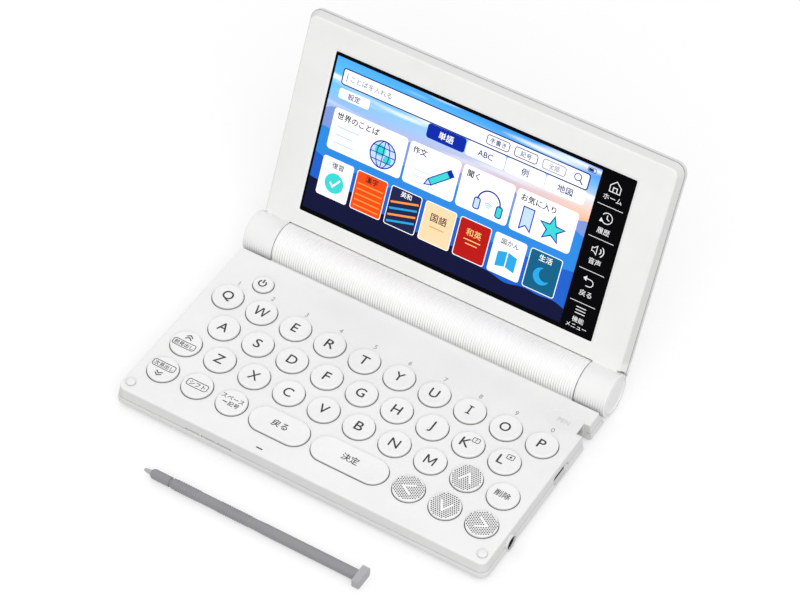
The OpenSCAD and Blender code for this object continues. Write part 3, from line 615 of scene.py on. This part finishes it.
class LegendPrint(bpy.types.Operator):
    """Prints the function words, boxes and signs on the other keys"""
    bl_idname = "dictionary.legend_print"
    bl_label = "Print the legends"

    def execute(self, context):
        ink = moulded("function ink", context.scene.dictionary_shell.legend, 0.5)
        words = {
            "key_prev": [("前見出し", -0.15, -0.95, 2.1)], "key_next": [("次見出し", -0.4, 1.4, 2.1)],
            "key_shift": [("シフト", 0.1, 0.1, 2.4)],
            "key_space": [("スペース", -0.35, 1.5, 2.4), ("記号", 1.35, -0.95, 2.3)],
            "key_back": [("戻る", 0.0, 0.35, 3.5)], "key_enter": [("決定", 0.1, 0.27, 3.5)],
            "key_delete": [("削除", -0.33, 0.3, 3.1)],
        }
        boxes = {"key_prev": (-0.15, -0.95, 4.65, 1.45), "key_next": (-0.4, 1.4, 4.65, 1.45),
                 "key_shift": (0.1, 0.1, 4.25, 1.55)}
        for name, lines in words.items():
            sheet = Print(key_face(name), step=0.8)
            for text, x, y, size in lines:
                sheet.words(text, x, y, size, INK, weight=0.009)
            if name in boxes:
                x, y, half_x, half_y = boxes[name]
                box = box_outline(x - half_x, y - half_y, x + half_x, y + half_y, 0.9)
                sheet.outline(box, 0.28, INK)
            if name == "key_prev":
                self.chevrons(sheet, 2.2, 1)
            if name == "key_next":
                self.chevrons(sheet, -1.95, -1)
            if name == "key_space":
                sheet.level(-3.15, -1.35, -0.95, 0.4, INK)
            sheet.build(name + "_legend", [ink], name, "key")
        sheet = Print(key_face("key_power"))
        sheet.line(arc(-0.44, 0.05, 1.4, 125, 415, 24), 0.55, INK)
        sheet.line([[-0.44, 0.2], [-0.44, 2.05]], 0.55, INK)
        sheet.build("key_power_legend", [ink], "key_power", "key")
        return {"FINISHED"}

    def chevrons(self, sheet, y, way):
        """Two chevrons one above the other, pointing up or down."""
        for step in (0, 1.1):
            tip = y + way * (step + 0.6)
            sheet.line([[-1.65, tip - way * 0.95], [-0.3, tip], [1.05, tip - way * 0.95]], 0.42, INK)


class DeckPrint(bpy.types.Operator):
    """Prints the digits above the top row, and sets the stylus word and the microphone's mesh"""
    bl_idname = "dictionary.deck_print"
    bl_label = "Print the deck"

    def execute(self, context):
        colours = context.scene.dictionary_shell
        sheet = Print(deck_face)
        for number, letter in enumerate(DIGIT_ROW, 1):
            x = key_place("key_" + letter)[0][0]
            sheet.words(str(number % 10), x - 0.35, 10.9, 2.9, 0.015, weight=0.004)
        sheet.build("deck_digits", [moulded("digit ink", colours.digit, 0.5)], "base", "case")
        word = Print(deck_face)
        word.words("PEN", 67.4, 16.9, 2.9, 0.12 - THUMB_RECESS, weight=0.008)
        # Painted shade: the raised word is a grey tone that stands in for the shading round its letters
        raised = moulded("raised word", linear(218, 217, 218), 0.46)
        word.build("pen_word", [raised], "base", "case", 0.1)
        mesh = Print(deck_face)
        mesh.shape(box_outline(-18.62, -52.03, -16.08, -51.57, 0.1), -0.12)
        black = moulded("black mesh", linear(34, 33, 34), 0.7)
        mesh.build("microphone_mesh", [black], "base", "case", 0.05)
        return {"FINISHED"}


# Operators: display

class GlassFinish(bpy.types.Operator):
    """Gives the glass its black border and the panel behind it its metal"""
    bl_idname = "dictionary.glass_finish"
    bl_label = "Finish the glass"

    def execute(self, context):
        glass = moulded("black glass", linear(3, 3, 5), 0.1, 0.05, 400, 0.0, specular=0.03)
        dress(glass, "touch_glass")
        panel = moulded("panel back", linear(150, 152, 156), 0.35, 0.04, 700, metallic=0.8)
        dress(panel, "lcd_panel")
        return {"FINISHED"}


LCD = (-61.3, 17.0, 48.7, 79.0)
SKY_FOOT = 50.0
HILLS = [
    # middle height, swing, waves over the width, slope, colour
    (57.0, 1.6, 3.3, -2.0, (122, 146, 208)),
    (49.5, 2.2, 2.1, 3.0, (44, 132, 216)),
    (38.0, 1.5, 1.6, -4.0, (30, 92, 192)),
    (26.5, 1.2, 2.6, -9.0, (13, 16, 54)),
]
# Stops of the sky from its foot up, on the left and on the right
SKY = (
    ((140, 146, 208), (166, 176, 226), (126, 190, 246), (92, 186, 250), (74, 168, 248)),
    ((246, 130, 92), (250, 178, 134), (232, 214, 206), (120, 182, 240), (36, 128, 230)),
)


class WallpaperDraw(bpy.types.Operator):
    """Draws the picture behind the cards: an evening sky over rows of hills"""
    bl_idname = "dictionary.wallpaper_draw"
    bl_label = "Draw the wallpaper"

    def execute(self, context):
        glow = context.scene.dictionary_display.glow
        self.sky(glow)
        hills = Print(lid_face)
        u = np.linspace(LCD[0], LCD[2], 90)
        t = (u - LCD[0]) / (LCD[2] - LCD[0])
        tones = []
        for layer, (height, swing, waves, slope, colour) in enumerate(HILLS):
            ridge = height + slope * (t - 0.5) + swing * np.sin(2 * math.pi * waves * t + layer * 1.7)
            ridge += 0.35 * swing * np.sin(2 * math.pi * waves * 3.1 * t + layer)
            ground = np.column_stack([u[::-1], np.full(len(u), LCD[1])])
            hills.shape(np.vstack([ground, np.column_stack([u, ridge])]), 0.025 + layer * 0.008, layer)
            tones.append(glowing("hill %d" % layer, linear(*colour), glow))
        hills.build("display_hills", tones, "lid", "display", 0.006)
        return {"FINISHED"}

    def sky(self, glow):
        """A grid whose colours run up the sky through five stops, with a row of stops for the left and one
        for the right, under streaks of cloud: a sum of three bent sines, cut off below a level."""
        wide, high = 180, 72
        u, v = np.meshgrid(np.linspace(LCD[0], LCD[2], wide), np.linspace(SKY_FOOT, LCD[3], high))
        t, h = (u - LCD[0]) / (LCD[2] - LCD[0]), (v - SKY_FOOT) / (LCD[3] - SKY_FOOT)
        stops = [np.array([linear(*c) for c in row]) for row in SKY]
        left, right = (np.stack([np.interp(h, np.linspace(0, 1, 5), row[:, k]) for k in range(3)], -1)
                       for row in stops)
        share = t[..., None] ** 1.6
        colours = left * (1 - share) + right * share
        wave = np.sin(15 * h + 4 * np.sin(3 * t + 1) + 2 * t)
        wave += 0.6 * np.sin(37 * h - 9 * t + 2 * np.sin(7 * t))
        wave += 0.35 * np.sin(71 * h + 15 * t)
        cloud = (np.clip((wave - 0.1) / 1.4, 0, 1) * np.clip(h * 2.4 - 0.5, 0, 1) * 0.85)[..., None]
        colours = colours * (1 - cloud) + np.array(linear(244, 250, 255)) * cloud
        points = lid_face(np.column_stack([u.ravel(), v.ravel()]), 0.015)
        i = np.arange(high - 1)[:, None] * wide + np.arange(wide - 1)
        faces = np.stack([i, i + 1, i + wide + 1, i + wide], -1).reshape(-1, 4).tolist()
        material, shader = bare_material("evening sky", (0.4, 0.6, 0.9), 0.25, specular=0.06)
        tree = material.node_tree
        tint = tree.nodes.new("ShaderNodeAttribute")
        tint.attribute_name = "tint"
        tree.links.new(tint.outputs["Color"], shader.inputs["Base Color"])
        tree.links.new(tint.outputs["Color"], shader.inputs["Emission Color"])
        shader.inputs["Emission Strength"].default_value = glow
        numbers = np.zeros(len(faces), int)
        obj = finish_mesh("display_sky", points, faces, [material], numbers, "lid")
        layer = obj.data.color_attributes.new("tint", "FLOAT_COLOR", "POINT")
        flat = np.column_stack([colours.reshape(-1, 3), np.ones(wide * high)])
        layer.data.foreach_set("color", flat.ravel())


class SearchDraw(bpy.types.Operator):
    """Draws the search bar with its buttons, and the row of tabs under it"""
    bl_idname = "dictionary.search_draw"
    bl_label = "Draw the search bar"

    def execute(self, context):
        c = context.scene.dictionary_display
        sheet = Print(lid_face)
        white, ink, accent, grey = 0, 1, 2, 3
        bar = box_outline(-57.5, 69.2, 45.0, 75.4, 1.0)
        sheet.shape(bar, CARD, white)
        sheet.outline(bar, 0.45, PICTURE, ink)
        sheet.line(arc(40.6, 72.7, 1.35, 0, 330, 16), 0.35, LINE, ink, closed=True)
        sheet.line([[41.6, 71.7], [42.9, 70.4]], 0.45, LINE, ink)
        sheet.line([[-55.6, 70.6], [-55.6, 74.0]], 0.25, LINE, ink)
        sheet.words("ことばを入れる", -45.4, 72.3, 2.6, LINE, grey)
        for x, word, tone in ((8.0, "手書き", ink), (19.5, "記号", ink), (31.0, "全部", grey)):
            button = box_outline(x - 4.6, 70.5, x + 4.6, 74.1, 0.9)
            sheet.outline(button, 0.32, LINE, tone)
            sheet.words(word, x, 72.3, 2.3, LINE, tone)
        tabs = (("単語", accent), ("ABC", white), ("例", white), ("地図", white))
        for i, (word, tone) in enumerate(tabs):
            left = -20.0 + 16.4 * i
            tab = box_outline(left, 63.2, left + 16.0, 68.9, 1.1)
            sheet.shape(tab, TAB, tone)
            sheet.words(word, left + 8, 66.0, 3.2, PICTURE, white if tone == accent else ink)
        sheet.shape(box_outline(-57.5, 63.6, -44.5, 67.6, 0.8), TAB, white)
        sheet.words("設定", -51.0, 65.6, 2.7, PICTURE, ink)
        sheet.outline(box_outline(43.4, 76.5, 46.6, 78.1, 0.3), 0.22, CARD, ink)
        sheet.shape(box_outline(43.7, 76.8, 45.6, 77.8), CARD, ink)
        tones = [glowing("bar white", c.white, c.glow), glowing("bar ink", c.ink, c.glow),
                 glowing("bar blue", c.accent, c.glow), glowing("bar grey", linear(132, 136, 152), c.glow)]
        sheet.build("display_search", tones, "lid", "display", 0.01)
        return {"FINISHED"}


# Finishes of the cards, in the order of their materials
WHITE, DARK, BLUE, PALE, AQUA = range(5)


class CardDraw(bpy.types.Operator):
    """Draws four white cards with line pictures: a globe, a pencil, headphones and a star"""
    bl_idname = "dictionary.card_draw"
    bl_label = "Draw the cards"

    def execute(self, context):
        c = context.scene.dictionary_display
        self.sheet = Print(lid_face)
        places = [(-57.5, 31.5, "世界のことば", self.globe), (-25.0, 21.5, "作文", self.pencil),
                  (-2.5, 21.5, "聞く", self.headphones), (20.0, 25.0, "お気に入り", self.star)]
        for left, wide, title, picture in places:
            self.sheet.shape(box_outline(left, 43.2, left + wide, 59.8, 1.4), CARD, WHITE)
            self.sheet.words(title, left + 1.5 + 1.5 * len(title), 57.0, 3.0, PICTURE, DARK, weight=0.016)
            picture(left + wide - 8.6, 49.6)
        tones = [glowing("card white", c.white, c.glow), glowing("card ink", linear(10, 11, 20), 0.0),
                 glowing("card blue", c.accent, c.glow), glowing("card pale", c.pale, c.glow),
                 glowing("card aqua", c.aqua, c.glow)]
        self.sheet.build("display_cards", tones, "lid", "display", 0.01)
        return {"FINISHED"}

    def globe(self, x, y):
        """A disc with an equator, two parallels, an upright meridian and one that is an ellipse of half the
        disc's width, beside three ruled lines."""
        s = self.sheet
        s.shape(arc(x, y, 5.3, 0, 350, 32), UNDERLAY, PALE)
        s.shape(arc(x - 1.4, y + 1.3, 2.3, 0, 340, 14), PICTURE, AQUA)
        s.shape(arc(x + 2.2, y - 1.6, 1.7, 0, 340, 14), PICTURE, AQUA)
        s.line(arc(x, y, 5.3, 0, 350, 32), 0.5, LINE, BLUE, closed=True)
        s.level(x - 5.3, x + 5.3, y, 0.35, LINE, BLUE)
        for h in (-2.7, 2.7):
            s.level(x - 4.5, x + 4.5, y + h, 0.35, LINE, BLUE)
        ring = arc(x, y, 5.3, 0, 350, 32)
        ring[:, 0] = x + (ring[:, 0] - x) / 2
        s.line(ring, 0.35, LINE, BLUE, closed=True)
        s.line([[x, y - 5.3], [x, y + 5.3]], 0.35, LINE, BLUE)
        for i, w in enumerate((9.5, 7.5, 8.5)):
            s.level(x - 20.5, x - 20.5 + w, y + 3.2 - 3.2 * i, 0.55, PICTURE, PALE)

    def pencil(self, x, y):
        """A slanted pencil over three ruled lines."""
        s = self.sheet
        for i in range(3):
            s.level(x - 9, x + 1 + i, y - 4.6 + 2.4 * i, 0.4, UNDERLAY, PALE)
        turn = np.array([[0.64, 0.77], [-0.77, 0.64]])
        middle = [x + 1.5, y + 0.6]
        body = np.array([[-1.3, -4.5], [1.3, -4.5], [1.3, 4.2], [-1.3, 4.2]]) @ turn.T + middle
        tip = np.array([[-1.3, -4.5], [0, -7.0], [1.3, -4.5]]) @ turn.T + middle
        cap = np.array([[-1.3, 4.2], [1.3, 4.2], [1.3, 5.9], [-1.3, 5.9]]) @ turn.T + middle
        s.shape(body, PICTURE, AQUA)
        s.shape(tip, PICTURE, PALE)
        s.shape(cap, PICTURE, BLUE)
        for part in (body, tip, cap):
            s.outline(part, 0.4, LINE, BLUE)

    def headphones(self, x, y):
        """A half ring with two upright cups and three small waves."""
        s = self.sheet
        s.line(arc(x, y - 0.6, 4.6, 0, 180, 24), 0.6, PICTURE, BLUE)
        for side in (-1, 1):
            cup = box_outline(x + side * 4.6 - 1.2, y - 4.6, x + side * 4.6 + 1.2, y - 0.2, 0.8)
            s.shape(cup, PICTURE, PALE if side < 0 else AQUA)
            s.outline(cup, 0.45, LINE, BLUE)
        for i in range(3):
            s.line(arc(x, y - 3.2, 0.8 + i * 0.8, 50, 130, 8), 0.35, PICTURE, AQUA)

    def star(self, x, y):
        """A star whose ten points stand at two radii by turns, and a ribbon beside it."""
        s = self.sheet
        a = np.radians(90 + 36 * np.arange(10))
        r = np.where(np.arange(10) % 2, 2.2, 5.2)
        star = np.column_stack([x + r * np.cos(a), y + r * np.sin(a)])
        s.shape(star, PICTURE, AQUA)
        s.outline(star, 0.5, LINE, BLUE)
        ribbon = [[x - 12.5, y - 4.6], [x - 10.3, y - 2.8], [x - 8.1, y - 4.6],
                  [x - 8.1, y + 4.2], [x - 12.5, y + 4.2]]
        s.shape(ribbon, PICTURE, PALE)
        s.outline(ribbon, 0.45, LINE, BLUE)


class TileDraw(bpy.types.Operator):
    """Draws the row of small coloured book tiles along the lower edge"""
    bl_idname = "dictionary.tile_draw"
    bl_label = "Draw the tiles"

    def execute(self, context):
        c = context.scene.dictionary_display
        sheet = Print(lid_face)
        grounds = [(252, 253, 255), (238, 74, 20), (30, 34, 74), (249, 210, 168), (176, 22, 20),
                   (252, 253, 255), (16, 92, 128)]
        white, (aqua, dark, orange, blue, gold) = 0, range(1 + len(grounds), 6 + len(grounds))
        for i in range(len(grounds)):
            x0 = -57.5 + 14.7 * i
            x1, y0, y1 = x0 + 13.2, 24.4, 40.2
            mx, my = (x0 + x1) / 2, (y0 + y1) / 2
            sheet.shape(box_outline(x0, y0, x1, y1, 1.0), CARD, white)
            sheet.shape(box_outline(x0 + 0.3, y0 + 0.3, x1 - 0.3, y1 - 0.3, 0.8), 0.08, 1 + i)
            if i == 0:
                sheet.shape(arc(mx, my - 1.6, 4.0, 0, 350, 28), PICTURE, aqua)
                tick = [[mx - 1.8, my - 1.6], [mx - 0.4, my - 3.0], [mx + 2.2, my + 0.4]]
                sheet.line(tick, 0.7, LINE, white)
                sheet.words("復習", mx, y1 - 2.6, 2.6, LINE, dark)
            elif i == 1:
                for k in range(5):
                    sheet.level(x0 + 1.2, x1 - 1.2, y0 + 2 + 2.2 * k, 0.5, PICTURE, orange)
                sheet.words("漢字", mx, y1 - 2.4, 2.8, LINE, dark)
            elif i == 2:
                for k in range(4):
                    sheet.line([[x0 + 1.0, y0 + 1.5 + 2.6 * k], [x1 - 1.0, y0 + 4.5 + 2.6 * k]],
                               0.8, PICTURE, (blue, orange)[k % 2])
                sheet.words("英和", mx, y1 - 2.0, 2.4, LINE, white)
            elif i == 3:
                sheet.words("国語", mx, my + 2.4, 3.6, LINE, dark)
                sheet.level(mx - 3, mx + 3, my - 1.4, 0.4, LINE, orange)
            elif i == 4:
                sheet.words("和英", mx, my + 3.0, 3.2, LINE, gold)
                sheet.level(mx - 3.5, mx + 3.5, my, 0.4, LINE, gold)
                sheet.level(mx - 2.5, mx + 2.5, my - 1.6, 0.4, LINE, gold)
            elif i == 5:
                book = [[mx - 4, my - 5], [mx, my - 4], [mx + 4, my - 5],
                        [mx + 4, my + 1], [mx, my + 2], [mx - 4, my + 1]]
                sheet.shape(book, PICTURE, blue)
                sheet.line([[mx, my - 4], [mx, my + 2]], 0.4, LINE, white)
                sheet.words("図かん", mx, y1 - 2.6, 2.5, LINE, dark)
            else:
                sheet.shape(arc(mx, my - 1.4, 3.4, 0, 350, 24), PICTURE, blue)
                sheet.shape(arc(mx + 1.5, my - 0.4, 2.7, 0, 350, 24), 0.095, 1 + i)
                sheet.words("生活", mx, y1 - 2.4, 2.8, LINE, white)
        inks = [(24, 24, 34), (250, 150, 60), (40, 160, 220), (240, 196, 120)]
        colours = [c.white[:], *[linear(*g) for g in grounds], c.aqua[:], *[linear(*k) for k in inks]]
        tones = [glowing("tile %d" % i, colour, c.glow) for i, colour in enumerate(colours)]
        sheet.build("display_tiles", tones, "lid", "display", 0.008)
        return {"FINISHED"}


class TouchKeyPrint(bpy.types.Operator):
    """Prints the five touch keys and the lines between them on the black strip beside the display"""
    bl_idname = "dictionary.touch_key_print"
    bl_label = "Print the touch keys"

    def execute(self, context):
        s = Print(lid_face, (55.2, 0))
        thick, up = 0.32, TOUCH_INK
        roof = [[-2.1, 75.0], [0, 76.9], [2.1, 75.0], [2.1, 72.6], [-2.1, 72.6]]
        s.outline(roof, thick, up)
        s.line([[-0.75, 72.6], [-0.75, 74.4], [0.75, 74.4], [0.75, 72.6]], 0.35, up)
        s.line(arc(0, 62.3, 2.1, -150, 150, 22), thick, up)
        s.shape([[-2.7, 60.4], [-0.9, 60.6], [-2.2, 62.0]], up)
        s.line([[0, 63.6], [0, 62.2], [1.0, 61.7]], 0.35, up)
        horn = [[-2.3, 48.6], [-1.5, 48.6], [-0.4, 47.6], [-0.4, 51.0], [-1.5, 50.0], [-2.3, 50.0]]
        s.outline(horn, 0.3, up)
        for r in (1.2, 2.3):
            s.line(arc(0.1, 49.3, r, -55, 55, 10), 0.38, up)
        back = np.vstack([[[-1.6, 37.6]], arc(0.4, 36.2, 1.4, 90, -90, 12), [[-0.9, 34.8]]])
        s.line(back, thick, up)
        s.shape([[-2.5, 37.6], [-1.1, 38.7], [-1.1, 36.5]], up)
        for y in (25.9, 24.7, 23.5):
            s.level(-2.0, 2.0, y, thick, up)
        labels = (("ホーム", 70.2, 2.6), ("履歴", 57.1, 2.6), ("音声", 44.8, 2.6), ("戻る", 31.8, 2.7),
                  ("機能", 20.9, 2.4), ("メニュー", 18.2, 2.2))
        for word, y, size in labels:
            s.words(word, 0, y, size, up, weight=0.006)
        for y in (66.8, 53.8, 40.8, 27.8):
            s.level(-5.1, 5.1, y, 0.22, up)
        white = glowing("touch key white", linear(236, 238, 240), 0.1)
        s.build("touch_keys", [white], "lid", "display", 0.015)
        return {"FINISHED"}


class StylusFinish(bpy.types.Operator):
    """Gives the loose stylus its grey plastics"""
    bl_idname = "dictionary.stylus_finish"
    bl_label = "Finish the stylus"

    def execute(self, context):
        c = context.scene.dictionary_stylus
        plastic = moulded("stylus plastic", c.head, 0.4, 0.03, 2200)
        dress(graded(plastic, "X", 39.0, 39.3, c.barrel), "stylus_barrel")
        dress(moulded("nib plastic", c.nib, 0.38), "stylus_tip")
        return {"FINISHED"}


# Operators: stage

class StageSet(bpy.types.Operator):
    """Lays the pale floor and sets the soft light and the camera"""
    bl_idname = "dictionary.stage_set"
    bl_label = "Set the stage"

    def execute(self, context):
        c = context.scene.dictionary_stage
        self.floor(c.floor, c.floor_lift)
        self.light("key_light", (0.6, -0.82, 1.05), 1.3, c.key_light)
        self.light("back_light", (-0.7, 0.7, 1.1), 0.9, c.back_light)
        self.world(context.scene, c.sky_light)
        self.camera(context.scene)
        context.scene.view_settings.view_transform = "Standard"
        return {"FINISHED"}

    def seen_directly(self, tree):
        """One where a ray comes from the camera, or through or off glass and gloss."""
        path = tree.nodes.new("ShaderNodeLightPath")
        total = path.outputs["Is Camera Ray"]
        for name in ("Is Glossy Ray", "Is Transmission Ray"):
            total = reckon(tree, "MAXIMUM", total, path.outputs[name])
        return total

    def floor(self, colour, glow_level):
        """A square of three metres whose own glow lifts it to white where it is seen, but for shadows."""
        half, low = 1500.0, -0.1
        corners = [[-half, -half, low], [half, -half, low], [half, half, low], [-half, half, low]]
        material, shader = bare_material("floor", colour, 0.8, specular=0.0)
        tree = material.node_tree
        glow = tree.nodes.new("ShaderNodeEmission")
        lift = reckon(tree, "MULTIPLY", self.seen_directly(tree), glow_level)
        tree.links.new(lift, glow.inputs["Strength"])
        both = tree.nodes.new("ShaderNodeAddShader")
        out = tree.nodes["Material Output"]
        tree.links.new(shader.outputs[0], both.inputs[0])
        tree.links.new(glow.outputs[0], both.inputs[1])
        tree.links.new(both.outputs[0], out.inputs["Surface"])
        mesh = bpy.data.meshes.new("floor")
        mesh.from_pydata((np.array(corners) * MM).tolist(), [], [[0, 1, 2, 3]])
        mesh.materials.append(material)
        obj = bpy.data.objects.new("floor", mesh)
        bpy.context.scene.collection.objects.link(obj)

    def light(self, name, place, size, power):
        """A square lamp that faces the middle of the object."""
        lamp = bpy.data.lights.new(name, "AREA")
        lamp.size = size
        lamp.energy = power
        obj = bpy.data.objects.new(name, lamp)
        obj.location = place
        obj.rotation_euler = obj.location.to_track_quat("Z", "Y").to_euler()
        bpy.context.scene.collection.objects.link(obj)

    def world(self, scene, level):
        """White where it is seen, and a softer white where it only gives light."""
        scene.world = bpy.data.worlds.new("studio")
        scene.world.use_nodes = True
        tree = scene.world.node_tree
        sky = tree.nodes["Background"]
        sky.inputs["Color"].default_value = (1, 1, 1, 1)
        strength = spread(tree, self.seen_directly(tree), 0, 1, level, 1)
        tree.links.new(strength, sky.inputs["Strength"])

    def camera(self, scene):
        """A long lens at the front right, looking down on the object."""
        lens = bpy.data.cameras.new("camera")
        lens.sensor_width = 36
        lens.lens = 140.36
        lens.clip_start, lens.clip_end = 0.05, 20
        obj = bpy.data.objects.new("camera", lens)
        obj.location = (0.38215, -0.63693, 0.85581)
        obj.rotation_euler = (0.743975, -0.016999, 0.5492)
        scene.collection.objects.link(obj)
        scene.camera = obj


STEPS = (
    CaseFinish, PortFinish, InsideFinish, KeyFinish, LetterPrint, LegendPrint, DeckPrint, GlassFinish,
    WallpaperDraw, SearchDraw, CardDraw, TileDraw, TouchKeyPrint, StylusFinish, StageSet,
)
GROUPS = (DictionaryShell, DictionaryDisplay, DictionaryStylus, DictionaryStage)


class DictionaryPanel(bpy.types.Panel):
    """Settings and steps of the electronic dictionary"""
    bl_idname = "VIEW3D_PT_dictionary"
    bl_label = "Electronic dictionary"
    bl_space_type = "VIEW_3D"
    bl_region_type = "UI"
    bl_category = "Dictionary"

    def draw(self, context):
        for group in GROUPS:
            box = self.layout.box()
            settings = getattr(context.scene, property_name(group))
            for name in group.__annotations__:
                box.prop(settings, name)
        for step in STEPS:
            self.layout.operator(step.bl_idname)


def property_name(group):
    """The scene's name for a group of settings."""
    return "dictionary_" + group.__name__.removeprefix("Dictionary").lower()


def register():
    for cls in (*GROUPS, *STEPS, DictionaryPanel):
        bpy.utils.register_class(cls)
    for group in GROUPS:
        setattr(bpy.types.Scene, property_name(group), bpy.props.PointerProperty(type=group))


def unregister():
    for group in GROUPS:
        delattr(bpy.types.Scene, property_name(group))
    for cls in reversed((*GROUPS, *STEPS, DictionaryPanel)):
        bpy.utils.unregister_class(cls)


def main():
    register()
    for step in STEPS:
        getattr(bpy.ops.dictionary, step.bl_idname.split(".")[1])()


if __name__ == "__main__":
    main()
